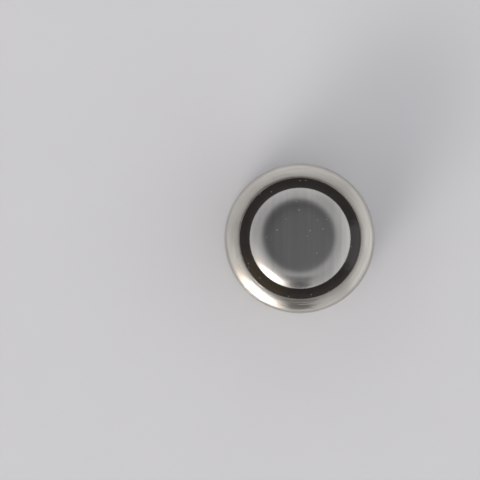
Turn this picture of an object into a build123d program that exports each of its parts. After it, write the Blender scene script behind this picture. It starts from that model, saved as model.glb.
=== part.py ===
from build123d import *

import math
import os

# Silver-oxide button cell, 7.9 mm across and 5.4 mm high, with everything that it holds.
#
# The cell stands on its positive face. The origin is at the centre of that face, and +Z runs up the cell's
# axis to the negative face. All sizes are in millimetres.
#
# Every piece is round, apart from the polarity mark, so each one is drawn as a half section, with x as the
# distance from the axis and y as the height, and is then turned about Z. The can and the cap are drawn from
# sheet: each has an outer skin, and an inner skin one sheet below it, so that its two faces run parallel.
# The soft pieces take the room that the metal leaves them, as they do when the press closes a real cell.

# The whole cell
CELL_DIAMETER = 7.9
CELL_HEIGHT = 5.4

# Positive can: nickel-plated steel, drawn to a cup, its rim rolled in over the gasket
CAN_SHEET = 0.20
CAN_CORNER_BEND = 0.20  # inside radius between the base and the wall
RIM_SHOULDER_BEND = 0.15  # inside radius where the wall starts to roll in
RIM_SHOULDER_TURN = 44.0  # degrees that the shoulder turns before the rim flattens out
RIM_TOP_BEND = 1.44  # inside radius of the flatter stretch
RIM_LEAN = 18.0  # degrees short of level where the rim ends
RIM_EDGE_BREAK = 0.04  # rounding of the rim's cut edge
CAP_PROUD = 0.42  # how far the cap stands above the end of the rim

# Polarity mark, pressed into the base
MARK_SPAN = 2.0
MARK_STROKE = 0.36
MARK_DEPTH = 0.05

# Negative cap: clad steel, with a flat contact face, a neck, a step and a hemmed skirt
CAP_SHEET = 0.20
CAP_EDGE_BEND = 5.80  # inside radius where the flat face starts to fall away
CAP_EDGE_FALL = 4.0  # degrees that it has fallen away where the dome begins
CAP_DOME_BEND = 1.40
CAP_DOME_FALL = 42.0  # degrees that it has fallen away where the tighter shoulder begins
CAP_SHOULDER_BEND = 0.25
CAP_NECK_LENGTH = 0.04
CAP_NECK_FILLET = 0.20  # outside radius of the hollow between the neck and the step
CAP_STEP_FALL = 15.0  # degrees that the step slopes
CAP_STEP_LENGTH = 0.05  # the step's straight stretch
CAP_STEP_BEND = 0.10
HEM_GAP = 0.05  # between the skirt and the part of it that is folded back up
HEM_DROP = 0.35  # from the top of the skirt down to the hem's cut edge

# Sealing gasket: nylon, a J in section
GASKET_WALL = 0.30  # between the hem and the can
GASKET_FOOT = 0.30
GASKET_LIP = 0.15  # thickness of the inner lip, inside the cap's skirt
GASKET_LIP_HEIGHT = 0.70  # above the foot's underside
GASKET_CROWN = 0.03  # how far its visible face bulges
GASKET_SET_BACK = 0.055  # from the rim's end down to the edges of the visible face

# Cathode
PELLET_HEIGHT = 1.45
SLEEVE_SHEET = 0.12
SLEEVE_BEND = 0.08  # inside radius between the sleeve's wall and its flange
SLEEVE_FLANGE = 0.75  # the flange's reach from the can towards the axis

# Separator
MEMBRANE_THICKNESS = 0.10
MEMBRANE_CLEARANCE = 0.03  # between the membrane's edge and the can
PAD_THICKNESS = 0.30
PAD_CLEARANCE = 0.02  # between the pad's edge and the gasket's lip

# Distances from the axis, worked out from the wall inwards
CAN_RADIUS = CELL_DIAMETER / 2
CAN_BORE_RADIUS = CAN_RADIUS - CAN_SHEET
SLEEVE_BORE_RADIUS = CAN_BORE_RADIUS - SLEEVE_SHEET
SLEEVE_MOUTH_RADIUS = CAN_BORE_RADIUS - SLEEVE_FLANGE
HEM_RADIUS = CAN_BORE_RADIUS - GASKET_WALL
SKIRT_RADIUS = HEM_RADIUS - CAP_SHEET - HEM_GAP
SKIRT_BORE_RADIUS = SKIRT_RADIUS - CAP_SHEET
LIP_BORE_RADIUS = SKIRT_BORE_RADIUS - GASKET_LIP

# Heights, worked out from the base upwards and from the cap's face down
SLEEVE_BOTTOM = CAN_SHEET + CAN_CORNER_BEND
PELLET_TOP = CAN_SHEET + PELLET_HEIGHT
FOOT_BOTTOM = PELLET_TOP + MEMBRANE_THICKNESS
PAD_TOP = FOOT_BOTTOM + PAD_THICKNESS
HEM_BOTTOM = FOOT_BOTTOM + GASKET_FOOT
HEM_FOLD = HEM_GAP / 2 + CAP_SHEET  # outside radius of the fold
HEM_FOLD_HEIGHT = HEM_BOTTOM + HEM_FOLD
LIP_TOP = FOOT_BOTTOM + GASKET_LIP_HEIGHT
RIM_END_HEIGHT = CELL_HEIGHT - CAP_PROUD
SEAL_HEIGHT = RIM_END_HEIGHT - GASKET_SET_BACK


def sine(degrees):
    return math.sin(math.radians(degrees))


def cosine(degrees):
    return math.cos(math.radians(degrees))


def neck_radius():
    """The radius that the cap's step, which leads out to the skirt, leaves for the neck."""
    bends = (CAP_NECK_FILLET + CAP_STEP_BEND + CAP_SHEET) * (1 - sine(CAP_STEP_FALL))
    return SKIRT_RADIUS - bends - CAP_STEP_LENGTH * cosine(CAP_STEP_FALL)


def can_skin(depth):
    """The can's face at this depth below its outside, from the axis to the end of the rim."""
    shoulder_radius = RIM_SHOULDER_BEND + CAN_SHEET
    top_radius = RIM_TOP_BEND + CAN_SHEET
    shoulder_rise = shoulder_radius * sine(RIM_SHOULDER_TURN)
    top_rise = top_radius * (cosine(RIM_LEAN) - sine(RIM_SHOULDER_TURN))
    wall_top = RIM_END_HEIGHT - shoulder_rise - top_rise

    base = Line((0, depth), (CAN_BORE_RADIUS - CAN_CORNER_BEND, depth))
    corner = JernArc(base @ 1, base % 1, CAN_CORNER_BEND + CAN_SHEET - depth, 90)
    wall = Line(corner @ 1, (CAN_RADIUS - depth, wall_top))
    shoulder = JernArc(wall @ 1, wall % 1, shoulder_radius - depth, RIM_SHOULDER_TURN)
    top = JernArc(shoulder @ 1, shoulder % 1, top_radius - depth, 90 - RIM_SHOULDER_TURN - RIM_LEAN)
    return [base, corner, wall, shoulder, top]


def cap_skin(depth):
    """The cap's face at this depth below its outside, from the axis to the top of the skirt."""
    edge_radius = CAP_EDGE_BEND + CAP_SHEET
    dome_radius = CAP_DOME_BEND + CAP_SHEET
    shoulder_radius = CAP_SHOULDER_BEND + CAP_SHEET
    edge_width = edge_radius * sine(CAP_EDGE_FALL)
    dome_width = dome_radius * (sine(CAP_DOME_FALL) - sine(CAP_EDGE_FALL))
    shoulder_width = shoulder_radius * (1 - sine(CAP_DOME_FALL))
    flat_radius = neck_radius() - shoulder_width - dome_width - edge_width

    flat = Line((0, CELL_HEIGHT - depth), (flat_radius, CELL_HEIGHT - depth))
    edge = JernArc(flat @ 1, flat % 1, edge_radius - depth, -CAP_EDGE_FALL)
    dome = JernArc(edge @ 1, edge % 1, dome_radius - depth, CAP_EDGE_FALL - CAP_DOME_FALL)
    shoulder = JernArc(dome @ 1, dome % 1, shoulder_radius - depth, CAP_DOME_FALL - 90)
    neck = Line(shoulder @ 1, shoulder @ 1 + (shoulder % 1) * CAP_NECK_LENGTH)
    hollow = JernArc(neck @ 1, neck % 1, CAP_NECK_FILLET + depth, 90 - CAP_STEP_FALL)
    step = Line(hollow @ 1, hollow @ 1 + (hollow % 1) * CAP_STEP_LENGTH)
    step_edge = JernArc(step @ 1, step % 1, CAP_STEP_BEND + CAP_SHEET - depth, CAP_STEP_FALL - 90)
    return [flat, edge, dome, shoulder, neck, hollow, step, step_edge]


def rim_end():
    """The outer corner of the can's cut edge."""
    return can_skin(0)[-1] @ 1


def skirt_top():
    """Where the cap's step turns down into the skirt."""
    return cap_skin(0)[-1] @ 1


def closed(edges, *points):
    """The face inside a run of edges that is carried on through these points and back to its start."""
    ring = Polyline(edges[-1] @ 1, *points, edges[0] @ 0)
    return make_face([*edges, *ring.edges()])


def block(inner, outer, bottom, top):
    """A rectangle of the half section, between two distances from the axis and two heights."""
    return make_face(Polyline((inner, bottom), (outer, bottom), (outer, top), (inner, top), close=True))


def turned(section):
    """The solid that a half section makes when it is turned about the cell's axis."""
    return revolve(Plane.XZ * section, Axis.Z, 360)


def can_room():
    """All that lies inside the can's sheet, up to the height at which the rim ends."""
    return closed(can_skin(CAN_SHEET), rim_end(), (0, RIM_END_HEIGHT))


def cap_room():
    """The hollow inside the cap, down to the height at which the hem folds."""
    return closed(cap_skin(CAP_SHEET), (SKIRT_BORE_RADIUS, HEM_FOLD_HEIGHT), (0, HEM_FOLD_HEIGHT))


def cap_envelope():
    """Cap, hem and hollow as one region: the form that the gasket closes round."""
    hem_top = skirt_top().Y - HEM_DROP
    skirt = Line(skirt_top(), (SKIRT_RADIUS, hem_top))
    cut_edge = Line(skirt @ 1, (HEM_RADIUS, hem_top))
    hem = Line(cut_edge @ 1, (HEM_RADIUS, HEM_FOLD_HEIGHT))
    fold = JernArc(hem @ 1, hem % 1, HEM_FOLD, -180)
    return closed([*cap_skin(0), skirt, cut_edge, hem, fold], (0, HEM_FOLD_HEIGHT))


def positive_can():
    section = closed(can_skin(0), (0, RIM_END_HEIGHT)) - can_room()
    cut_corner = section.vertices().sort_by_distance(rim_end())[0]
    cup = turned(fillet(cut_corner, RIM_EDGE_BREAK))
    mark = Rectangle(MARK_SPAN, MARK_STROKE) + Rectangle(MARK_STROKE, MARK_SPAN)
    return cup - extrude(mark, MARK_DEPTH)


def hem_slot():
    """The gap between the skirt and the part of it that is folded back up."""
    hem_top = skirt_top().Y - HEM_DROP
    skirt = Line((SKIRT_RADIUS, hem_top), (SKIRT_RADIUS, HEM_FOLD_HEIGHT))
    fold = JernArc(skirt @ 1, skirt % 1, HEM_GAP / 2, 180)
    return closed([skirt, fold], (SKIRT_RADIUS + HEM_GAP, hem_top))


def negative_cap():
    return turned(cap_envelope() - cap_room() - hem_slot())


def gasket_section():
    """A J that fills the room between can and cap, with an inner lip and a crowned visible face."""
    rim_radius = rim_end().X
    crown = ThreePointArc(
        (neck_radius(), SEAL_HEIGHT),
        ((neck_radius() + rim_radius) / 2, SEAL_HEIGHT + GASKET_CROWN),
        (rim_radius, SEAL_HEIGHT),
    )
    wall_top = (CAN_BORE_RADIUS, SEAL_HEIGHT)
    wall_bottom = (CAN_BORE_RADIUS, FOOT_BOTTOM)
    blank = closed([crown], wall_top, wall_bottom, (0, FOOT_BOTTOM), (0, SEAL_HEIGHT))
    inside_foot = block(0, LIP_BORE_RADIUS, FOOT_BOTTOM, HEM_FOLD_HEIGHT)
    lip = block(LIP_BORE_RADIUS, SKIRT_BORE_RADIUS, FOOT_BOTTOM, LIP_TOP)
    return (blank & can_room()) - cap_envelope() - inside_foot + lip


def sleeve_section():
    """An L: a wall that stands against the can, and a flange over the pellet's edge."""
    bend_bottom = PELLET_TOP - SLEEVE_SHEET - SLEEVE_BEND
    outer_wall = Line((CAN_BORE_RADIUS, SLEEVE_BOTTOM), (CAN_BORE_RADIUS, bend_bottom))
    outer_bend = JernArc(outer_wall @ 1, outer_wall % 1, SLEEVE_BEND + SLEEVE_SHEET, 90)
    top = Line(outer_bend @ 1, (SLEEVE_MOUTH_RADIUS, PELLET_TOP))
    end = Line(top @ 1, (SLEEVE_MOUTH_RADIUS, PELLET_TOP - SLEEVE_SHEET))
    underside = Line(end @ 1, (SLEEVE_BORE_RADIUS - SLEEVE_BEND, PELLET_TOP - SLEEVE_SHEET))
    inner_bend = JernArc(underside @ 1, underside % 1, SLEEVE_BEND, -90)
    outline = [outer_wall, outer_bend, top, end, underside, inner_bend]
    return closed(outline, (SLEEVE_BORE_RADIUS, SLEEVE_BOTTOM))


def pellet_section():
    """Pressed in place, so it fills the can's corner and the sleeve, up to the top of the sleeve's flange."""
    below_sleeve = block(0, CAN_BORE_RADIUS, CAN_SHEET, SLEEVE_BOTTOM)
    in_sleeve = block(0, SLEEVE_BORE_RADIUS, CAN_SHEET, PELLET_TOP - SLEEVE_SHEET)
    in_mouth = block(0, SLEEVE_MOUTH_RADIUS, CAN_SHEET, PELLET_TOP)
    return ((below_sleeve + in_sleeve + in_mouth) & can_room()) - sleeve_section()


def anode_section():
    """Gel that stands on the pad, inside the gasket's lip, and fills the cap."""
    in_lip = block(0, LIP_BORE_RADIUS, PAD_TOP, LIP_TOP)
    below_pad_top = block(0, SKIRT_BORE_RADIUS, FOOT_BOTTOM, PAD_TOP)
    return cap_room() + in_lip - below_pad_top - gasket_section()


def membrane_section():
    return block(0, CAN_BORE_RADIUS - MEMBRANE_CLEARANCE, PELLET_TOP, FOOT_BOTTOM)


def pad_section():
    return block(0, LIP_BORE_RADIUS - PAD_CLEARANCE, FOOT_BOTTOM, PAD_TOP)


pieces = {
    "positive_can": positive_can(),
    "negative_cap": negative_cap(),
    "sealing_gasket": turned(gasket_section()),
    "pellet_sleeve": turned(sleeve_section()),
    "silver_oxide_pellet": turned(pellet_section()),
    "barrier_membrane": turned(membrane_section()),
    "absorbent_pad": turned(pad_section()),
    "zinc_anode": turned(anode_section()),
}

os.makedirs("parts", exist_ok=True)
for name, solid in pieces.items():
    export_step(solid, f"parts/{name}.step")
    print(name, len(solid.solids()), "solid", round(solid.volume, 3), "mm3")
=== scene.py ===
# %% [markdown]
# # A silver-oxide button cell
#
# The real thing is a watch cell, 7.9 mm across and 5.4 mm high. Three of its pieces show: a nickel-plated
# can, a nickel-faced cap that stands up out of it, and a dark nylon gasket that keeps the two apart. Five
# more are sealed inside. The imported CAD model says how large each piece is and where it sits, so this lesson
# starts from it, remakes the three pieces that show with finer curves, and gives every piece its finish.

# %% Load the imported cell
import math

import bmesh
import bpy
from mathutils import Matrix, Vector


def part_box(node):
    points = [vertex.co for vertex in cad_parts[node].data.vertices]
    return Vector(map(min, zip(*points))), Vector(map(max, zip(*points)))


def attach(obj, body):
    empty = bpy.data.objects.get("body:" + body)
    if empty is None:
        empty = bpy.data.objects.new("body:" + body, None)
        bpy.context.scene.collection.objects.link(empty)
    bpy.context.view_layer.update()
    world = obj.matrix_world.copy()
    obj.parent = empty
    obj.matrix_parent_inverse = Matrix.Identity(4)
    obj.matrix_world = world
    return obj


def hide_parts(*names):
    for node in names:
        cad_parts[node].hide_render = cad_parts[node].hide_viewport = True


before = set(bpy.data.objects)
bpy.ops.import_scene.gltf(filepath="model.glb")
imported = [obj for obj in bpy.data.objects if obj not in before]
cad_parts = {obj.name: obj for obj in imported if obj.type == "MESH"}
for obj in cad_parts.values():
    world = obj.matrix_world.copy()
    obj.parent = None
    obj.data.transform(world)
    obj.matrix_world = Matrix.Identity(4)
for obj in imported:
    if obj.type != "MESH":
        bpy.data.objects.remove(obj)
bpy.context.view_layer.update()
print("nodes:", ", ".join(sorted(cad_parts)))

# %% [markdown]
# ## Sizes
#
# Blender works in metres, and a cell's own sizes are a few tenths of a millimetre, so a name for one
# millimetre keeps the numbers readable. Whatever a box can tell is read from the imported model. The box of a
# faceted circle is a few thousandths of a millimetre short of the true one, so a radius is rounded to the
# nearest hundredth. What no box tells, such as the thickness of the sheet and its bends, is named here.

# %% Sizes
MM = 0.001


def radius_of(node):
    low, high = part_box(node)
    return round((high.x - low.x) / 2 / MM, 2) * MM


CELL_RADIUS = radius_of("positive_can")
HEM_RADIUS = radius_of("negative_cap")
CELL_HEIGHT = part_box("negative_cap")[1].z
HEM_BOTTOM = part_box("negative_cap")[0].z
FOOT_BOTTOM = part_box("sealing_gasket")[0].z
SHEET = 0.20 * MM  # the can's and the cap's
CAN_BORE_RADIUS = CELL_RADIUS - SHEET
print(f"cell {CELL_RADIUS / MM:.2f} mm in radius, {CELL_HEIGHT / MM:.2f} mm high")

# %% [markdown]
# ## Half sections
#
# Every piece is round, so one half section holds all of its shape. A press makes such a section from
# straight runs and bends, and that is how it is described here: a start, a heading, and then each run or
# bend in turn. The points could be typed in as a list instead, but then every bend would be a guess, and two
# skins of one sheet wouldn't run parallel.

# %% A half section from runs and bends
FACET_TURN = 4.5  # degrees that one facet of a bend turns at the most
FACET_REACH = 0.15 * MM


def trace(start, heading, moves):
    """Points along runs and bends, as (distance from the axis, height).

    A run is (length, 0) and a bend is (radius, turn). Angles are in degrees: heading 0 leads away from the
    axis and 90 straight up, and a positive turn is to the left.
    """
    radius, height = start
    points = [start]
    for size, turn in moves:
        angle = math.radians(abs(turn))
        steps = max(1, math.ceil(abs(turn) / FACET_TURN), math.ceil(size * angle / FACET_REACH))
        chord = 2 * size * math.sin(angle / steps / 2) if turn else size
        for _ in range(steps):
            heading += turn / steps / 2
            radius += chord * math.cos(math.radians(heading))
            height += chord * math.sin(math.radians(heading))
            heading += turn / steps / 2
            points.append((radius, height))
    return points


# %% [markdown]
# The can's skin starts near the edge of its flat base, turns up into the wall, and rolls in over the gasket
# in two bends, a tight one and then a flatter one. A skin at some depth below the outer one has the same
# bends with smaller radii, because the sheet is equally thick all along.

# %% The can's skin
CAN_CORNER = 0.40 * MM
RIM_SHOULDER = 0.35 * MM
RIM_SHOULDER_TURN = 44
RIM_TOP = 1.64 * MM
RIM_LEAN = 18
RIM_END_HEIGHT = CELL_HEIGHT - 0.42 * MM
BASE_RADIUS = CELL_RADIUS - CAN_CORNER
START_RING = 0.06 * MM

shoulder_rise = RIM_SHOULDER * math.sin(math.radians(RIM_SHOULDER_TURN))
top_rise = RIM_TOP * (math.cos(math.radians(RIM_LEAN)) - math.sin(math.radians(RIM_SHOULDER_TURN)))
WALL_TOP = RIM_END_HEIGHT - shoulder_rise - top_rise


def can_skin(depth):
    moves = [
        (START_RING, 0),
        (CAN_CORNER - depth, 90),
        (WALL_TOP - CAN_CORNER, 0),
        (RIM_SHOULDER - depth, RIM_SHOULDER_TURN),
        (RIM_TOP - depth, 90 - RIM_SHOULDER_TURN - RIM_LEAN),
    ]
    return trace((BASE_RADIUS - START_RING, depth), 0, moves)


rim_radius, rim_height = can_skin(0)[-1]
print(f"the rim ends {rim_radius / MM:.2f} mm from the axis and {rim_height / MM:.2f} mm up")

# %% [markdown]
# The cap's skin starts in the middle of its face, which a press leaves very slightly crowned. It falls away
# over a soft edge, a dome and a tighter shoulder, drops through a short neck, and steps out to the skirt.
# The widths of the bends are added up from the skirt inwards, and what they leave is the face.

# %% The cap's skin
FACE_CROWN = 72.0 * MM
FACE_FALL_AT_EDGE = 1  # degrees, rounded; FACE_FALL below is the exact value
FACE_EDGE = 8.0 * MM
FACE_EDGE_FALL = 4
DOME = 1.60 * MM
DOME_FALL = 42
CAP_SHOULDER = 0.45 * MM
NECK_LENGTH = 0.025 * MM
NECK_FILLET = 0.20 * MM
STEP_FALL = 15
STEP_LENGTH = 0.05 * MM
STEP_BEND = 0.30 * MM
HEM_GAP = 0.05 * MM
HEM_DROP = 0.35 * MM
START_RADIUS = 0.10 * MM

SKIRT_RADIUS = HEM_RADIUS - SHEET - HEM_GAP
FOLD_HEIGHT = HEM_BOTTOM + SHEET + HEM_GAP / 2


def width_of(bend, fall_from, fall_to):
    """How far from the axis a bend leads while it falls from one slope to another."""
    return bend * (math.sin(math.radians(fall_to)) - math.sin(math.radians(fall_from)))


step_width = STEP_LENGTH * math.cos(math.radians(STEP_FALL))
step_width += width_of(NECK_FILLET + STEP_BEND, STEP_FALL, 90)
dome_width = width_of(DOME, FACE_EDGE_FALL, DOME_FALL) + width_of(CAP_SHOULDER, DOME_FALL, 90)
edge_width = width_of(FACE_EDGE, FACE_FALL_AT_EDGE, FACE_EDGE_FALL)
NECK_RADIUS = SKIRT_RADIUS - step_width
FACE_RADIUS = NECK_RADIUS - dome_width - edge_width
START_FALL = math.degrees(math.asin(START_RADIUS / FACE_CROWN))
FACE_FALL = math.degrees(math.asin(FACE_RADIUS / FACE_CROWN))


def cap_skin(depth):
    moves = [
        (FACE_CROWN - depth, START_FALL - FACE_FALL),
        (FACE_EDGE - depth, FACE_FALL - FACE_EDGE_FALL),
        (DOME - depth, FACE_EDGE_FALL - DOME_FALL),
        (CAP_SHOULDER - depth, DOME_FALL - 90),
        (NECK_LENGTH, 0),
        (NECK_FILLET + depth, 90 - STEP_FALL),
        (STEP_LENGTH, 0),
        (STEP_BEND - depth, STEP_FALL - 90),
    ]
    return trace((START_RADIUS, CELL_HEIGHT - depth), -START_FALL, moves)


SKIRT_TOP = cap_skin(0)[-1][1]
HEM_TOP = SKIRT_TOP - HEM_DROP
print(f"the cap's face is {2 * FACE_RADIUS / MM:.2f} mm across, and its neck {2 * NECK_RADIUS / MM:.2f} mm")

# %% [markdown]
# ## Turning a half section into a piece
#
# A turned shape can be made with Spin, or by pulling one ring up from another, as a potter does. Rings are
# used here. Each one is an extrude and a resize that can be followed on the screen, and the mesh is closed
# from the start, with no seam to weld. With this many segments the outline stays round even where the cell
# fills the picture.

# %% Rings
SEGMENTS = 240
TOUCH = 0.001 * MM  # nearer than this counts as the same place


def start_disc(name, radius, height, fill="NGON"):
    """Adds a disc, or a ring with no fill, and leaves it in edit mode with its edges selected."""
    bpy.ops.object.select_all(action="DESELECT")
    bpy.ops.mesh.primitive_circle_add(
        vertices=SEGMENTS, radius=radius, fill_type=fill, location=(0, 0, height)
    )
    piece = bpy.context.active_object
    piece.name = name
    bpy.ops.object.transform_apply(location=True)
    bpy.ops.object.mode_set(mode="EDIT")
    bpy.ops.mesh.select_mode(type="EDGE")
    bpy.ops.mesh.select_all(action="SELECT")
    return piece


def pull_rings(points):
    """Pulls the selected ring along a half section, with one extrude and one resize for each point."""
    for (radius, height), (next_radius, next_height) in zip(points, points[1:]):
        bpy.ops.mesh.extrude_edges_move(TRANSFORM_OT_translate={"value": (0, 0, next_height - height)})
        grow = next_radius / radius
        bpy.ops.transform.resize(value=(grow, grow, 1), center_override=(0, 0, next_height))


def thicken(piece):
    """Gives a skin the sheet's thickness, inwards from the face that shows."""
    bpy.ops.mesh.select_all(action="SELECT")
    bpy.ops.mesh.normals_make_consistent(inside=False)
    bpy.ops.object.mode_set(mode="OBJECT")
    solidify = piece.modifiers.new("sheet", "SOLIDIFY")
    solidify.thickness = SHEET
    solidify.offset = -1
    solidify.use_even_offset = True
    bpy.ops.object.modifier_apply(modifier=solidify.name)
    bpy.ops.object.mode_set(mode="EDIT")


# %% [markdown]
# Edit mode works on what is selected. On the screen that is done with the mouse, and here with a test on the
# middle of each vertex, edge or face.

# %% Select by place
def select_parts(piece, parts, test):
    """Selects the verts, edges or faces whose middle passes the test, and nothing else."""
    bpy.ops.mesh.select_mode(type={"verts": "VERT", "edges": "EDGE", "faces": "FACE"}[parts])
    bpy.ops.mesh.select_all(action="DESELECT")
    mesh = bmesh.from_edit_mesh(piece.data)
    chosen = 0
    for part in getattr(mesh, parts):
        corners = [part.co] if parts == "verts" else [vert.co for vert in part.verts]
        if test(sum(corners, Vector()) / len(corners)):
            part.select_set(True)
            chosen += 1
    bmesh.update_edit_mesh(piece.data)
    return chosen


def finish_piece(piece, node):
    """Leaves edit mode, keeps bends smooth and cut edges crisp, and puts the piece in its node's place."""
    bpy.ops.object.mode_set(mode="OBJECT")
    bpy.ops.object.shade_smooth_by_angle(angle=math.radians(20))
    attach(piece, "root")
    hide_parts(node)
    print(piece.name, len(piece.data.polygons), "faces")


# %% [markdown]
# ## The can
#
# The real can is drawn from nickel-plated strip, and a press rolls its rim in when it closes the cell. The
# outer skin is pulled as rings, and Solidify then gives it the thickness of the strip, so the rim's cut edge
# stands square to the sheet, as a sheared edge does. A shear never leaves a perfect line, so the rim's
# outer corner is shaken by a few thousandths of a millimetre before a bevel takes its sharpness off.

# %% The can's shell
RIM_BURR = 0.006 * MM
RIM_EDGE_BREAK = 0.04 * MM

can = start_disc("can_shell", BASE_RADIUS - START_RING, 0)
pull_rings(can_skin(0))
thicken(can)


def near_rim_corner(point, reach):
    return abs(point.z - rim_height) < reach and abs(point.xy.length - rim_radius) < reach


corner_verts = select_parts(can, "verts", lambda p: near_rim_corner(p, 4 * TOUCH))
bpy.ops.transform.vertex_random(offset=RIM_BURR, uniform=1.0, normal=0.0, seed=7)
corner_edges = select_parts(can, "edges", lambda p: near_rim_corner(p, 3 * RIM_BURR))
bpy.ops.mesh.bevel(offset=RIM_EDGE_BREAK, segments=5, affect="EDGES")
print(corner_verts, "corner points shaken,", corner_edges, "edges rounded")

# %% [markdown]
# The positive side carries a plus sign, pressed into the base. Straight bisects cut its outline into the
# base's one large face, and the faces inside are pushed in. A chamfer follows all round the mark, because a
# punch draws the metal down with it and never leaves a sharp corner.

# %% The plus sign
MARK_SPAN = 2.0 * MM
MARK_STROKE = 0.36 * MM
MARK_DEPTH = 0.05 * MM
MARK_EDGE = 0.02 * MM


def in_mark(point, margin=0.0):
    short, long = sorted((abs(point.x), abs(point.y)))
    return short < MARK_STROKE / 2 + margin and long < MARK_SPAN / 2 + margin


def on_base(point):
    return abs(point.z) < TOUCH and point.xy.length < BASE_RADIUS - START_RING - TOUCH


for axis in (Vector((1, 0, 0)), Vector((0, 1, 0))):
    for offset in (-MARK_SPAN / 2, -MARK_STROKE / 2, MARK_STROKE / 2, MARK_SPAN / 2):
        select_parts(can, "faces", on_base)
        bpy.ops.mesh.bisect(plane_co=axis * offset, plane_no=axis)
mark_faces = select_parts(can, "faces", lambda p: on_base(p) and in_mark(p))
bpy.ops.mesh.extrude_region_move(TRANSFORM_OT_translate={"value": (0, 0, MARK_DEPTH)})
mark_edges = select_parts(
    can, "edges", lambda p: on_base(p) and in_mark(p, TOUCH) and not in_mark(p, -TOUCH)
)
bpy.ops.mesh.bevel(offset=MARK_EDGE, segments=1, affect="EDGES")
print(mark_faces, "faces pushed in,", mark_edges, "edges chamfered")
finish_piece(can, "positive_can")

# %% [markdown]
# ## The cap
#
# The cap is one more drawn sheet, so it is made in the same way: the face first, then the dome, neck, step
# and skirt as rings, and the thickness last. The skirt's edge is folded back up outside itself as a hem.
# That can't be seen in a whole cell, and is made all the same, because it is what the gasket grips.

# %% The cap's shell
cap = start_disc("cap_shell", START_RADIUS, CELL_HEIGHT)
hem = trace(
    cap_skin(0)[-1], -90, [(SKIRT_TOP - FOLD_HEIGHT, 0), (HEM_GAP / 2, 180), (HEM_TOP - FOLD_HEIGHT, 0)]
)
pull_rings(cap_skin(0) + hem[1:])
thicken(cap)
finish_piece(cap, "negative_cap")

# %% [markdown]
# ## The gasket
#
# The gasket is moulded nylon. The press squeezes it until it fills all the room between the can and the cap,
# so its section is a closed loop along their skins, with a foot under the hem, a lip inside the skirt, and a
# slightly bulging face that shows. A bare ring is pulled right round that loop, and the last ring is welded
# to the first.

# %% The gasket's loop
SET_BACK = 0.055 * MM  # from the rim's end down to the edges of the visible face
SEAL_HEIGHT = RIM_END_HEIGHT - SET_BACK
CROWN = 0.03 * MM
CROWN_STEPS = 10
LIP = 0.15 * MM
LIP_HEIGHT = 0.70 * MM


def where_at(points, height):
    """The first point of a half section at this height."""
    for (radius_a, height_a), (radius_b, height_b) in zip(points, points[1:]):
        if min(height_a, height_b) <= height <= max(height_a, height_b):
            share = (height - height_a) / (height_b - height_a)
            return (radius_a + share * (radius_b - radius_a), height)
    raise ValueError("the half section doesn't reach this height")


inner_end = can_skin(SHEET)[-1]
crown_start = where_at(cap_skin(0), SEAL_HEIGHT)
crown_end = where_at([can_skin(0)[-1], inner_end], SEAL_HEIGHT)
crown = []
for step in range(CROWN_STEPS + 1):
    share = step / CROWN_STEPS
    bulge = CROWN * (1 - (2 * share - 1) ** 2)
    crown.append((crown_start[0] + share * (crown_end[0] - crown_start[0]), SEAL_HEIGHT + bulge))

skirt_bore = SKIRT_RADIUS - SHEET
can_side = [point for point in reversed(can_skin(SHEET)) if point[1] > FOOT_BOTTOM]
foot = [(CAN_BORE_RADIUS, FOOT_BOTTOM), (skirt_bore - LIP, FOOT_BOTTOM)]
lip = [(skirt_bore - LIP, FOOT_BOTTOM + LIP_HEIGHT), (skirt_bore, FOOT_BOTTOM + LIP_HEIGHT)]
fold = trace((skirt_bore, FOLD_HEIGHT), -90, [(SHEET + HEM_GAP / 2, 180)])
over_hem = [(HEM_RADIUS, HEM_TOP), (SKIRT_RADIUS, HEM_TOP)]
cap_side = [point for point in reversed(cap_skin(0)) if point[1] < SEAL_HEIGHT]
loop = crown + can_side + foot + lip + fold + over_hem + cap_side + crown[:1]
print("the gasket's face is", round((crown_end[0] - crown_start[0]) / MM, 3), "mm wide")

# %% The gasket's ring
gasket = start_disc("gasket_ring", *loop[0], fill="NOTHING")
pull_rings(loop)
bpy.ops.mesh.select_all(action="SELECT")
bpy.ops.mesh.remove_doubles(threshold=TOUCH)
bpy.ops.mesh.normals_make_consistent(inside=False)
finish_piece(gasket, "sealing_gasket")

# %% [markdown]
# ## Finishes
#
# A finish is a small tree of nodes. One function adds a node with its settings and its links, so each tree
# reads as a list of what it holds. Colours are written as they look on a screen and are turned to the linear
# values that a shader wants. Patterns read the piece's own coordinates, in metres, so the scale of each one
# is one over its real size.

# %% Helpers for finishes
def linear(hex_colour):
    channels = [int(hex_colour[i : i + 2], 16) / 255 for i in (1, 3, 5)]
    return [*(c / 12.92 if c <= 0.04045 else ((c + 0.055) / 1.055) ** 2.4 for c in channels), 1]


def add(tree, kind, inputs=None, output=0, **settings):
    """Adds a node, sets it up, sets or links its inputs by name or number, and gives back one output."""
    node = tree.nodes.new(kind)
    for name, value in settings.items():
        setattr(node, name, value)
    for name, value in (inputs or {}).items():
        if isinstance(value, bpy.types.NodeSocket):
            tree.links.new(value, node.inputs[name])
        else:
            node.inputs[name].default_value = value
    return node.outputs[output]


def start_finish(name):
    """A new material with an empty tree, and the coordinates of the piece that wears it."""
    material = bpy.data.materials.new(name)
    material.use_nodes = True
    tree = material.node_tree
    tree.nodes.clear()
    return material, tree, add(tree, "ShaderNodeTexCoord", output="Object")


def end_finish(tree, shader):
    surface = tree.nodes.new("ShaderNodeOutputMaterial")
    tree.links.new(shader, surface.inputs["Surface"])


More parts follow.
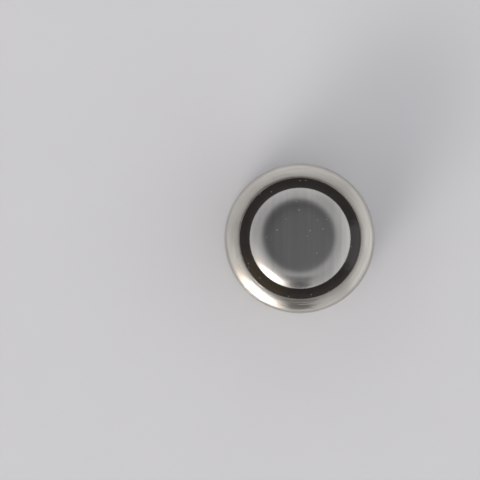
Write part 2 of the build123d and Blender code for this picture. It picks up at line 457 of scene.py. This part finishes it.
# %% [markdown]
# Two patterns are used more than once. Hairlines are the fine straight scratches that loose parts give each
# other in a tumbler: noise, stretched along one direction, of which only the highest crests are kept. Knocks
# are small round dents from the same handling: cells of which a few keep a spot in their middle. Where a
# colour reads those spots and no bump does, they are specks of dust or flakes. A real hairline is a few
# thousandths of a millimetre wide, and is drawn two or three times as wide, so that it shows.

# %% Hairlines and knocks
def hairlines(tree, place, angle, width, length):
    """Sparse straight scratches at an angle in degrees. Gives 1 on a scratch and 0 beside it."""
    grain = (1 / width, 1 / length, 1 / length)
    turned = add(
        tree, "ShaderNodeMapping", {"Vector": place, "Rotation": (0, 0, math.radians(angle)), "Scale": grain}
    )
    crests = add(tree, "ShaderNodeTexNoise", {"Vector": turned, "Scale": 1.0, "Detail": 1.0})
    return add(
        tree,
        "ShaderNodeMapRange",
        {"Value": crests, "From Min": 0.68, "From Max": 0.76},
        interpolation_type="SMOOTHSTEP",
    )


def knocks(tree, place, spacing, radius, share, space="3D"):
    """Sparse round dents. Gives 1 in the middle of a dent and 0 beside it; a share of the cells has one."""
    cells = {"Vector": place, "Scale": 1 / spacing}
    reach = add(tree, "ShaderNodeTexVoronoi", cells, output="Distance", voronoi_dimensions=space)
    chance = add(tree, "ShaderNodeTexVoronoi", cells, output="Color", voronoi_dimensions=space)
    chance = add(tree, "ShaderNodeSeparateColor", {0: chance})
    dent = add(
        tree,
        "ShaderNodeMapRange",
        {"Value": reach, "From Min": radius / spacing, "From Max": 0.0},
        interpolation_type="SMOOTHSTEP",
    )
    has_one = add(tree, "ShaderNodeMath", {0: chance, 1: 1 - share}, operation="GREATER_THAN")
    return add(tree, "ShaderNodeMath", {0: dent, 1: has_one}, operation="MULTIPLY")


# %% [markdown]
# ### The can: nickel-plated steel, drawn and rolled
#
# Nickel plate is bright and a little warm. The die leaves fine upright lines on the wall, the tool that rolls
# the rim leaves lines that run round it, and the base keeps faint turning marks. Real lines of this kind lie
# a few thousandths of a millimetre apart. They are drawn about ten times coarser, so that they show.
#
# Lines come from noise that is squeezed along one direction. For upright lines the height is all but taken
# away. For lines round the axis, every place is moved to a thin tube, so the noise changes fast across the
# skin and slowly along it.

# %% Lines round the axis, and where each kind of line belongs
DIE_LINE = 0.04 * MM
TOOL_LINE = 0.035 * MM
LINE_TUBE = 0.12 * MM  # the tube's radius: the smaller it is, the longer the lines


def turned_place(tree, outward, along_skin, tube):
    """Coordinates in which noise becomes lines round the axis."""
    along_skin = add(tree, "ShaderNodeCombineXYZ", {"Z": along_skin})
    return add(
        tree,
        "ShaderNodeVectorMath",
        {0: outward, 1: (tube, tube, tube), 2: along_skin},
        operation="MULTIPLY_ADD",
    )


def from_axis(tree, place):
    """The distance from the axis, and the direction away from it."""
    level = add(tree, "ShaderNodeVectorMath", {0: place, 1: (1, 1, 0)}, operation="MULTIPLY")
    radius = add(tree, "ShaderNodeVectorMath", {0: level}, output="Value", operation="LENGTH")
    outward = add(tree, "ShaderNodeVectorMath", {0: level}, operation="NORMALIZE")
    return radius, outward


def die_and_tool_lines(tree, place, turned, height):
    """Upright lines on the wall, and lines round the axis on the rim and the base. Also where the rim is."""
    tool_lines = add(tree, "ShaderNodeTexNoise", {"Vector": turned, "Scale": 1 / TOOL_LINE, "Detail": 2.0})
    up_wall = add(tree, "ShaderNodeVectorMath", {0: place, 1: (1, 1, 0.01)}, operation="MULTIPLY")
    die_lines = add(tree, "ShaderNodeTexNoise", {"Vector": up_wall, "Scale": 1 / DIE_LINE, "Detail": 1.0})
    on_rim = add(
        tree, "ShaderNodeMapRange", {"Value": height, "From Min": WALL_TOP, "From Max": WALL_TOP + 0.2 * MM}
    )
    on_base = add(
        tree, "ShaderNodeMapRange", {"Value": height, "From Min": 0.35 * MM, "From Max": 0.05 * MM}
    )
    by_tool = add(tree, "ShaderNodeMath", {0: on_rim, 1: on_base}, operation="ADD")
    return add(tree, "ShaderNodeMix", {0: by_tool, 2: die_lines, 3: tool_lines}), on_rim


# %% [markdown]
# Three places on the can differ from the rest, and each one has a mask: a value of 1 there and 0 elsewhere.
# The floor of the plus sign is left matt by the punch, and its colour is darker as painted shade in the
# recess.
# Beside its end the rim is painted darker, as painted shade next to the gasket. The sheared end itself has no
# plate on it, so it is bare grey steel.

# %% Three places that differ
# Painted shade: where this mask is 1, the floor of the plus sign is painted darker as shade in the recess. Its
# extra roughness is real.
def mark_floor(tree, height, radius):
    sunk = add(
        tree,
        "ShaderNodeMapRange",
        {"Value": height, "From Min": 0.3 * MARK_DEPTH, "From Max": 0.9 * MARK_DEPTH},
    )
    inside = add(tree, "ShaderNodeMath", {0: radius, 1: 0.75 * MARK_SPAN}, operation="LESS_THAN")
    return add(tree, "ShaderNodeMath", {0: sunk, 1: inside}, operation="MULTIPLY")


# Painted shade: the rim's colour is made darker over the last 0.3 mm before its end, next to the gasket.
def painted_rim_end_shade(tree, on_rim, radius):
    rim_end_shade = add(
        tree,
        "ShaderNodeMapRange",
        {"Value": radius, "From Min": rim_radius + 0.30 * MM, "From Max": rim_radius, "To Max": 0.55},
        interpolation_type="SMOOTHSTEP",
    )
    return add(tree, "ShaderNodeMath", {0: rim_end_shade, 1: on_rim}, operation="MULTIPLY")


def sheared_end(tree, on_rim, radius):
    cut = add(
        tree,
        "ShaderNodeMapRange",
        {"Value": radius, "From Min": rim_radius + 0.035 * MM, "From Max": rim_radius + 0.005 * MM},
    )
    return add(tree, "ShaderNodeMath", {0: cut, 1: on_rim}, operation="MULTIPLY")


# %% [markdown]
# The finish puts these together. The plate is never quite level, so reflections in it waver a little: that is
# a slow ripple with almost no height. Here and there the rolling tool chattered and left a deeper line along
# the rim. Loose parts in the tumbler left hairlines and small dents, but the rolling ironed the hairlines off
# the rim. To the eye it is a polished metal whose reflections are drawn out a little across its lines.

# %% The can's finish
def plated_steel(name, bright, dull, polish):
    """Nickel plate on drawn steel. Polish is its lowest roughness."""
    material, tree, place = start_finish(name)
    height = add(tree, "ShaderNodeSeparateXYZ", {0: place}, output="Z")
    radius, outward = from_axis(tree, place)
    along_skin = add(tree, "ShaderNodeMath", {0: radius, 1: height}, operation="SUBTRACT")
    turned = turned_place(tree, outward, along_skin, LINE_TUBE)
    lines, on_rim = die_and_tool_lines(tree, place, turned, height)

    ripple = add(tree, "ShaderNodeTexNoise", {"Vector": place, "Scale": 1 / (0.9 * MM), "Detail": 1.0})
    haze = add(tree, "ShaderNodeTexNoise", {"Vector": place, "Scale": 1 / (2.2 * MM), "Detail": 2.0})
    dents = knocks(tree, place, 0.8 * MM, 0.05 * MM, 0.35)
    scratches = hairlines(tree, place, 35, 0.012 * MM, 1.1 * MM)
    more = hairlines(tree, place, 102, 0.010 * MM, 0.8 * MM)
    scratches = add(tree, "ShaderNodeMath", {0: scratches, 1: more}, operation="MAXIMUM")
    off_rim = add(tree, "ShaderNodeMapRange", {"Value": on_rim, "To Min": 1.0, "To Max": 0.0})
    scratches = add(tree, "ShaderNodeMath", {0: scratches, 1: off_rim}, operation="MULTIPLY")
    chatter = add(tree, "ShaderNodeTexNoise", {"Vector": turned, "Scale": 1 / (0.06 * MM), "Detail": 0.0})
    chatter = add(
        tree,
        "ShaderNodeMapRange",
        {"Value": chatter, "From Min": 0.62, "From Max": 0.80},
        interpolation_type="SMOOTHSTEP",
    )
    chatter = add(tree, "ShaderNodeMath", {0: chatter, 1: on_rim}, operation="MULTIPLY")

    normal = add(tree, "ShaderNodeBump", {"Height": ripple, "Distance": 0.004 * MM})
    normal = add(tree, "ShaderNodeBump", {"Height": lines, "Distance": 0.0008 * MM, "Normal": normal})
    for height_map, depth in ((chatter, 0.004 * MM), (scratches, 0.0005 * MM), (dents, 0.004 * MM)):
        sunk_in = {"Height": height_map, "Distance": depth, "Normal": normal}
        normal = add(tree, "ShaderNodeBump", sunk_in, invert=True)

    shade = add(tree, "ShaderNodeMath", {0: lines, 1: 0.45, 2: haze}, operation="MULTIPLY_ADD")
    shade = add(tree, "ShaderNodeMapRange", {"Value": shade, "From Min": 0.58, "From Max": 0.93})
    colour = add(
        tree, "ShaderNodeMix", {0: shade, 6: linear(bright), 7: linear(dull)}, output=2, data_type="RGBA"
    )
    roughness = add(tree, "ShaderNodeMath", {0: shade, 1: 0.05, 2: polish}, operation="MULTIPLY_ADD")
    roughness = add(tree, "ShaderNodeMath", {0: lines, 1: 0.06, 2: roughness}, operation="MULTIPLY_ADD")
    # The first two colours are painted shade, in the plus sign's floor and on the rim beside its end. The
    # third is the bare steel of the sheared end.
    for mask, its_colour, rougher in (
        (mark_floor(tree, height, radius), "#8B8782", 0.22),
        (painted_rim_end_shade(tree, on_rim, radius), "#8E8983", 0.0),
        (sheared_end(tree, on_rim, radius), "#8A8580", 0.25),
    ):
        blend = {0: mask, 6: colour, 7: linear(its_colour)}
        colour = add(tree, "ShaderNodeMix", blend, output=2, data_type="RGBA")
        roughness = add(
            tree, "ShaderNodeMath", {0: mask, 1: rougher, 2: roughness}, operation="MULTIPLY_ADD"
        )
    shader = add(
        tree,
        "ShaderNodeBsdfPrincipled",
        {"Base Color": colour, "Metallic": 1.0, "Roughness": roughness, "Normal": normal},
    )
    end_finish(tree, shader)
    return material


# %% [markdown]
# ### The cap: rolled sheet, clad with nickel
#
# The cap's sheet is rolled before it is drawn, and the rolling grain still runs straight across the face and
# over the dome. It is a whiter, more satin nickel than the can's, so its reflections are soft and its flat
# face mirrors only a plain grey. The part that stands up highest takes the handling: a few small dents and
# hairlines, and specks of pale dust. Real grain lies about 0.005 mm apart, and is drawn four times as coarse.

# %% The cap's finish
def clad_nickel():
    """Satin nickel with a straight rolling grain along Y."""
    material, tree, place = start_finish("rolled_nickel_clad_steel")
    along_grain = add(tree, "ShaderNodeVectorMath", {0: place, 1: (1, 0.03, 0.03)}, operation="MULTIPLY")
    grain = add(tree, "ShaderNodeTexNoise", {"Vector": along_grain, "Scale": 1 / (0.02 * MM), "Detail": 2.0})
    bands = add(tree, "ShaderNodeTexNoise", {"Vector": along_grain, "Scale": 1 / (0.22 * MM), "Detail": 3.0})
    haze = add(tree, "ShaderNodeTexNoise", {"Vector": place, "Scale": 1 / (1.1 * MM), "Detail": 3.0})
    ripple = add(tree, "ShaderNodeTexNoise", {"Vector": place, "Scale": 1 / (0.8 * MM), "Detail": 1.0})
    scratches = hairlines(tree, place, 5, 0.012 * MM, 1.4 * MM)
    more = hairlines(tree, place, 72, 0.010 * MM, 0.7 * MM)
    scratches = add(tree, "ShaderNodeMath", {0: scratches, 1: more}, operation="MAXIMUM")

    height = add(tree, "ShaderNodeSeparateXYZ", {0: place}, output="Z")
    on_top = add(
        tree,
        "ShaderNodeMapRange",
        {"Value": height, "From Min": CELL_HEIGHT - 0.22 * MM, "From Max": CELL_HEIGHT - 0.14 * MM},
    )
    dents = knocks(tree, place, 0.60 * MM, 0.06 * MM, 0.15, "2D")
    dents = add(tree, "ShaderNodeMath", {0: dents, 1: on_top}, operation="MULTIPLY")
    beside_dents = add(tree, "ShaderNodeMapping", {"Vector": place, "Location": (0.7 * MM, 0.3 * MM, 0)})
    dust = knocks(tree, beside_dents, 0.53 * MM, 0.032 * MM, 0.10, "2D")
    dust = add(tree, "ShaderNodeMath", {0: dust, 1: on_top}, operation="MULTIPLY")

    normal = add(tree, "ShaderNodeBump", {"Height": ripple, "Distance": 0.002 * MM})
    normal = add(tree, "ShaderNodeBump", {"Height": grain, "Distance": 0.0001 * MM, "Normal": normal})
    for height_map, depth in ((scratches, 0.0003 * MM), (dents, 0.010 * MM)):
        sunk_in = {"Height": height_map, "Distance": depth, "Normal": normal}
        normal = add(tree, "ShaderNodeBump", sunk_in, invert=True)

    streaks = add(tree, "ShaderNodeMapRange", {"Value": bands, "From Min": 0.30, "From Max": 0.70})
    blend = {0: streaks, 6: linear("#ACABAA"), 7: linear("#B3B2B0")}
    colour = add(tree, "ShaderNodeMix", blend, output=2, data_type="RGBA")
    blend = {0: dust, 6: colour, 7: linear("#B9B6B1")}
    colour = add(tree, "ShaderNodeMix", blend, output=2, data_type="RGBA")
    metal = add(tree, "ShaderNodeMath", {0: 1.0, 1: dust}, operation="SUBTRACT")
    roughness = add(tree, "ShaderNodeMath", {0: haze, 1: 0.08, 2: 0.15}, operation="MULTIPLY_ADD")
    roughness = add(tree, "ShaderNodeMath", {0: grain, 1: 0.03, 2: roughness}, operation="MULTIPLY_ADD")
    shader = add(
        tree,
        "ShaderNodeBsdfPrincipled",
        {"Base Color": colour, "Metallic": metal, "Roughness": roughness, "Normal": normal},
    )
    end_finish(tree, shader)
    return material


# %% [markdown]
# ### The gasket: moulded nylon
#
# Black nylon straight from the mould has a soft gloss, with a trace of brown in its black. Squeezing leaves
# faint stretch lines round the ring. The right side is painted greyer, as a painted reflection of the pale
# card there. The front left side is painted brown, as a painted warm glow of the window's light. Both are
# masks again, made from the direction away from the axis, with some noise in them so that their ends aren't
# straight.
# A few specks of pale dust lie on top.

# %% The gasket's finish
def one_side(tree, outward, direction, lumps, noise, edges):
    """1 on the side of the ring that a direction points to, and 0 elsewhere, with an uneven end."""
    facing = {0: outward, 1: direction}
    side = add(tree, "ShaderNodeVectorMath", facing, output="Value", operation="DOT_PRODUCT")
    side = add(tree, "ShaderNodeMath", {0: lumps, 1: noise, 2: side}, operation="MULTIPLY_ADD")
    return add(
        tree,
        "ShaderNodeMapRange",
        {"Value": side, "From Min": edges[0], "From Max": edges[1]},
        interpolation_type="SMOOTHSTEP",
    )


def moulded_nylon():
    material, tree, place = start_finish("moulded_black_nylon")
    radius, outward = from_axis(tree, place)
    turned = turned_place(tree, outward, radius, 0.25 * MM)
    stretch = add(tree, "ShaderNodeTexNoise", {"Vector": turned, "Scale": 1 / (0.06 * MM), "Detail": 3.0})
    lumps = add(tree, "ShaderNodeTexNoise", {"Vector": place, "Scale": 1 / (0.35 * MM), "Detail": 2.0})
    # Painted reflection: the right side, towards the pale card, is painted greyer.
    painted_card_reflection = one_side(tree, outward, (0.99, -0.12, 0), lumps, 0.10, (0.92, 1.02))
    # Painted glow: the front left side, towards the window, is painted brown as a warm glow of its light.
    painted_window_glow = one_side(tree, outward, (-0.71, -0.71, 0), lumps, 0.12, (0.84, 1.06))
    dust = knocks(tree, place, 0.30 * MM, 0.034 * MM, 0.09, "2D")

    normal = add(tree, "ShaderNodeBump", {"Height": lumps, "Distance": 0.010 * MM})
    normal = add(tree, "ShaderNodeBump", {"Height": stretch, "Distance": 0.003 * MM, "Normal": normal})
    blend = {0: lumps, 6: linear("#171310"), 7: linear("#261E1A")}
    colour = add(tree, "ShaderNodeMix", blend, output=2, data_type="RGBA")
    # The first two colours are painted light, a reflection and a glow. The third is real dust.
    for mask, its_colour in ((painted_card_reflection, "#454142"), (painted_window_glow, "#382D1F"), (dust, "#BDB8B0")):
        blend = {0: mask, 6: colour, 7: linear(its_colour)}
        colour = add(tree, "ShaderNodeMix", blend, output=2, data_type="RGBA")
    roughness = add(tree, "ShaderNodeMath", {0: stretch, 1: 0.20, 2: 0.30}, operation="MULTIPLY_ADD")
    shader = add(
        tree,
        "ShaderNodeBsdfPrincipled",
        {"Base Color": colour, "Roughness": roughness, "IOR": 1.53, "Normal": normal},
    )
    end_finish(tree, shader)
    return material


# %% Dress the three pieces that show
def dress(piece, material):
    piece.data.materials.clear()
    piece.data.materials.append(material)
    print(piece.name, "wears", material.name)


dress(can, plated_steel("nickel_plated_drawn_steel", "#C3BFBA", "#B5B1AC", 0.13))
dress(cap, clad_nickel())
dress(gasket, moulded_nylon())

# %% [markdown]
# ### The pieces sealed inside
#
# Nobody sees these in a whole cell, but a cut-open one shows them, so each has its own finish. They stay as
# the CAD model has them, and only their material slots change. The sleeve is nickel-plated strip and wears
# the can's finish, but duller, since it is never polished. It reaches neither the rim nor the plus sign, so
# none of the can's special places show on it.

# %% [markdown]
# The cathode is silver-oxide powder with a little graphite, pressed hard in a die. That gives a black-grey
# matt face with a fine grain, and graphite flakes that glint here and there.

# %% Pressed silver oxide
def pressed_oxide():
    material, tree, place = start_finish("pressed_silver_oxide_with_graphite")
    powder = add(tree, "ShaderNodeTexNoise", {"Vector": place, "Scale": 1 / (0.03 * MM), "Detail": 4.0})
    clumps = add(tree, "ShaderNodeTexNoise", {"Vector": place, "Scale": 1 / (0.5 * MM), "Detail": 3.0})
    flakes = knocks(tree, place, 0.09 * MM, 0.025 * MM, 0.18)
    blend = {0: clumps, 6: linear("#1E1C1D"), 7: linear("#343032")}
    colour = add(tree, "ShaderNodeMix", blend, output=2, data_type="RGBA")
    blend = {0: flakes, 6: colour, 7: linear("#7B7C80")}
    colour = add(tree, "ShaderNodeMix", blend, output=2, data_type="RGBA")
    roughness = add(tree, "ShaderNodeMath", {0: flakes, 1: -0.45, 2: 0.80}, operation="MULTIPLY_ADD")
    normal = add(tree, "ShaderNodeBump", {"Height": powder, "Distance": 0.006 * MM})
    shader = add(
        tree,
        "ShaderNodeBsdfPrincipled",
        {"Base Color": colour, "Metallic": flakes, "Roughness": roughness, "IOR": 1.6, "Normal": normal},
    )
    end_finish(tree, shader)
    return material


# %% [markdown]
# The separator has two layers. The barrier is a cast cellulose film, straw-coloured and slightly glossy, with
# faint casting streaks. The pad is non-woven cotton and viscose: white, matt and full of short fibres that
# lie every way, drawn here as three sets of crests across each other.

# %% Separator film
def cellulose_film():
    material, tree, place = start_finish("cast_cellulose_film")
    drawn_out = add(tree, "ShaderNodeVectorMath", {0: place, 1: (1, 0.05, 1)}, operation="MULTIPLY")
    streaks = add(tree, "ShaderNodeTexNoise", {"Vector": drawn_out, "Scale": 1 / (0.12 * MM), "Detail": 3.0})
    cockle = add(tree, "ShaderNodeTexNoise", {"Vector": place, "Scale": 1 / (1.2 * MM), "Detail": 2.0})
    blend = {0: streaks, 6: linear("#C6B27E"), 7: linear("#D8C898")}
    colour = add(tree, "ShaderNodeMix", blend, output=2, data_type="RGBA")
    roughness = add(tree, "ShaderNodeMath", {0: streaks, 1: 0.15, 2: 0.28}, operation="MULTIPLY_ADD")
    normal = add(tree, "ShaderNodeBump", {"Height": cockle, "Distance": 0.02 * MM})
    shader = add(
        tree,
        "ShaderNodeBsdfPrincipled",
        {"Base Color": colour, "Roughness": roughness, "IOR": 1.47, "Normal": normal},
    )
    end_finish(tree, shader)
    return material


# %% Absorbent pad
def nonwoven_pad():
    material, tree, place = start_finish("nonwoven_cotton_pad")
    fibres = hairlines(tree, place, 15, 0.018 * MM, 0.7 * MM)
    for angle in (75, 135):
        more = hairlines(tree, place, angle, 0.018 * MM, 0.7 * MM)
        fibres = add(tree, "ShaderNodeMath", {0: fibres, 1: more}, operation="MAXIMUM")
    fleece = add(tree, "ShaderNodeTexNoise", {"Vector": place, "Scale": 1 / (0.15 * MM), "Detail": 4.0})
    blend = {0: fleece, 6: linear("#D2CEC4"), 7: linear("#ECE9E1")}
    colour = add(tree, "ShaderNodeMix", blend, output=2, data_type="RGBA")
    blend = {0: fibres, 6: colour, 7: linear("#F4F2EC")}
    colour = add(tree, "ShaderNodeMix", blend, output=2, data_type="RGBA")
    normal = add(tree, "ShaderNodeBump", {"Height": fleece, "Distance": 0.02 * MM})
    normal = add(tree, "ShaderNodeBump", {"Height": fibres, "Distance": 0.012 * MM, "Normal": normal})
    shader = add(
        tree,
        "ShaderNodeBsdfPrincipled",
        {"Base Color": colour, "Roughness": 0.95, "Sheen Weight": 0.3, "IOR": 1.5, "Normal": normal},
    )
    end_finish(tree, shader)
    return material


# %% [markdown]
# The anode is zinc powder held in a clear gel. Atomised zinc comes as rounded grains of about a tenth of a
# millimetre, which differ in how bright they are, and the gel lies over them as a wet coat.

# %% Zinc gel
def zinc_in_gel():
    material, tree, place = start_finish("zinc_powder_in_gel")
    cells = {"Vector": place, "Scale": 1 / (0.11 * MM)}
    grains = add(tree, "ShaderNodeTexVoronoi", cells, output="Distance")
    grain_tone = add(tree, "ShaderNodeTexVoronoi", cells, output="Color")
    grain_tone = add(tree, "ShaderNodeSeparateColor", {0: grain_tone})
    blend = {0: grain_tone, 6: linear("#6C6F74"), 7: linear("#A2A5A8")}
    colour = add(tree, "ShaderNodeMix", blend, output=2, data_type="RGBA")
    roughness = add(tree, "ShaderNodeMath", {0: grain_tone, 1: 0.25, 2: 0.30}, operation="MULTIPLY_ADD")
    normal = add(tree, "ShaderNodeBump", {"Height": grains, "Distance": 0.03 * MM}, invert=True)
    shader = add(
        tree,
        "ShaderNodeBsdfPrincipled",
        {
            "Base Color": colour,
            "Metallic": 0.7,
            "Roughness": roughness,
            "Coat Weight": 0.6,
            "Coat Roughness": 0.12,
            "Normal": normal,
        },
    )
    end_finish(tree, shader)
    return material


# %% Dress the pieces inside
inside = {
    "pellet_sleeve": plated_steel("nickel_plated_strip", "#B2AFA9", "#A29D94", 0.26),
    "silver_oxide_pellet": pressed_oxide(),
    "barrier_membrane": cellulose_film(),
    "absorbent_pad": nonwoven_pad(),
    "zinc_anode": zinc_in_gel(),
}
for name, material in inside.items():
    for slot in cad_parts[name].material_slots:
        slot.material = material
    print(name, "wears", material.name)

# %% [markdown]
# ## Floor
#
# The cell stands on a sheet of pale card, wide enough that its edge is never near. It takes the cell's
# shadow, and the metal reflects it below the horizon.

# %% Floor
bpy.ops.object.select_all(action="DESELECT")
bpy.ops.mesh.primitive_plane_add(size=3.0, location=(0, 0, 0))
floor = bpy.context.active_object
floor.name = "floor"

material, tree, place = start_finish("pale_card")
fibre = add(tree, "ShaderNodeTexNoise", {"Vector": place, "Scale": 1 / (6.0 * MM), "Detail": 2.0})
card = add(
    tree, "ShaderNodeMix", {0: fibre, 6: linear("#E9E9ED"), 7: linear("#ECECF0")}, output=2, data_type="RGBA"
)
end_finish(tree, add(tree, "ShaderNodeBsdfPrincipled", {"Base Color": card, "Roughness": 0.8}))
dress(floor, material)

# %% [markdown]
# ## Light
#
# Polished metal shows whatever stands round it, so lighting it means building what it reflects. This studio
# is a pale tent, brighter towards the horizon. A large bright window stands low at the front left, and its
# light is a little warm. A pale card stands on the right. The tent is open above, where the camera looks in.
# That opening is dark and a little cool, and it is the grey disc in the cap's face. The disc is paler in its
# middle, which shows the camera itself. A narrow dark flag at the front draws a dark mark into each rounded
# edge, which is what makes it read as polished. In three places the tent is a little darker, so that the rim
# isn't equally bright all round. All of it is part of the world, as soft round patches of sky.

# %% Patches of sky
SKY = 1.45
HORIZON = 0.66 * SKY
OVERHEAD = 0.41 * SKY

# Azimuth and angle from overhead, then how far from its middle a patch is whole and where it ends, all in
# degrees. The last number is the share of SKY that a patch adds or, below 0, the share of the light it takes.
PATCHES = (
    (-10, 82, 10, 46, 0.12),  # the pale card
    (155, 70, 5, 35, -0.15),  # the tent, a little darker here and in the next two
    (48, 65, 2, 24, -0.15),
    (-58, 64, 4, 28, -0.14),
    (-136, 68, 5, 38, 0.28),  # the window's glow on the tent
    (-126, 78, 5, 28, 1.50),  # the window
    (-90, 48, 7, 19, -0.60),  # the flag, as two patches, one above the other
    (-90, 71, 8, 18, -0.74),
    (115, 12, 9, 38, -0.74),  # the opening overhead
    (20, 2, 0, 8, 0.07),  # the camera in that opening
)

# The same four angles, and the colour that the light is tinted with there.
TINTS = (
    (-130, 76, 6, 36, "#FFF3E6"),  # the window
    (115, 12, 9, 38, "#F8F9FF"),  # the opening overhead
)

studio = bpy.data.worlds.new("studio")
bpy.context.scene.world = studio
studio.use_nodes = True
sky = studio.node_tree
sky.nodes.clear()
ray = add(sky, "ShaderNodeTexCoord", output="Generated")


def towards(azimuth, from_top):
    """A direction. The azimuth turns from +X towards +Y, and from_top is measured down from overhead."""
    turn, lean = math.radians(azimuth), math.radians(from_top)
    return Vector((math.cos(turn) * math.sin(lean), math.sin(turn) * math.sin(lean), math.cos(lean)))


def patch(middle, inner, outer, beside, inside):
    """A round patch of sky: one value inside the inner angle, fading to another at the outer one."""
    facing = {0: ray, 1: middle}
    nearness = add(sky, "ShaderNodeVectorMath", facing, output="Value", operation="DOT_PRODUCT")
    edges = {"From Min": math.cos(math.radians(outer)), "From Max": math.cos(math.radians(inner))}
    return add(
        sky,
        "ShaderNodeMapRange",
        {"Value": nearness, "To Min": beside, "To Max": inside, **edges},
        interpolation_type="SMOOTHSTEP",
    )


# %% The tent
height = add(sky, "ShaderNodeSeparateXYZ", {0: ray}, output="Z")
light = add(sky, "ShaderNodeMapRange", {"Value": height, "To Min": HORIZON, "To Max": OVERHEAD})
for azimuth, from_top, inner, outer, change in PATCHES:
    middle = towards(azimuth, from_top)
    if change > 0:
        added = patch(middle, inner, outer, 0.0, change * SKY)
        light = add(sky, "ShaderNodeMath", {0: light, 1: added}, operation="ADD")
    else:
        kept = patch(middle, inner, outer, 1.0, 1.0 + change)
        light = add(sky, "ShaderNodeMath", {0: light, 1: kept}, operation="MULTIPLY")
for azimuth, from_top, inner, outer, colour in TINTS:
    share = patch(towards(azimuth, from_top), inner, outer, 0.0, 1.0)
    blend = {0: share, 6: light, 7: linear(colour)}
    light = add(sky, "ShaderNodeMix", blend, output=2, data_type="RGBA", blend_type="MULTIPLY")
print("the tent has", len(PATCHES), "patches and", len(TINTS), "tints")
background = add(sky, "ShaderNodeBackground", {"Color": light, "Strength": 1.0})
world_output = sky.nodes.new("ShaderNodeOutputWorld")
sky.links.new(background, world_output.inputs["Surface"])

# %% [markdown]
# A lamp stands in the window's place and adds what the sky alone doesn't give: a soft shadow with a
# direction. It is large for its distance, so the shadow has no edge.

# %% The window's lamp
LAMP_DISTANCE = 0.60
LAMP_WIDTH = 0.25
LAMP_POWER = 0.6  # watts

lamp_data = bpy.data.lights.new("window", "AREA")
lamp_data.shape = "DISK"
lamp_data.size = LAMP_WIDTH
lamp_data.energy = LAMP_POWER
lamp = bpy.data.objects.new("window", lamp_data)
bpy.context.scene.collection.objects.link(lamp)
away = towards(-127, 70)
lamp.location = away * LAMP_DISTANCE
lamp.rotation_euler = (-away).to_track_quat("-Z", "Y").to_euler()
print("the window's lamp is", LAMP_DISTANCE, "m away")

# %% [markdown]
# ## Camera
#
# The camera looks almost straight down, leaning a little to the left, through a long lens, so the cell stays
# nearly free of perspective. It aims beside the cell, which leaves plain card round it.

# %% Camera
CAMERA_DISTANCE = 0.20
SIGHT_TILT = math.radians(1.8)
FRAME_WIDTH = 25.2 * MM
ASIDE = Vector((3.16 * MM, 0.09 * MM, 0))

rim_centre = Vector((0, 0, RIM_END_HEIGHT))
camera_data = bpy.data.cameras.new("camera")
camera_data.sensor_width = 36
camera_data.lens = camera_data.sensor_width * CAMERA_DISTANCE / FRAME_WIDTH
camera_data.clip_start = 0.01
camera_data.clip_end = 1.0
camera = bpy.data.objects.new("camera", camera_data)
bpy.context.scene.collection.objects.link(camera)
bpy.context.scene.camera = camera
camera.location = rim_centre + CAMERA_DISTANCE * Vector((-math.sin(SIGHT_TILT), 0, math.cos(SIGHT_TILT)))
look = rim_centre - ASIDE - camera.location
camera.rotation_euler = (math.asin(look.y / look.length), -math.atan2(look.x, -look.z), 0)
bpy.context.scene.view_settings.view_transform = "Standard"
print("lens", round(camera_data.lens), "mm")
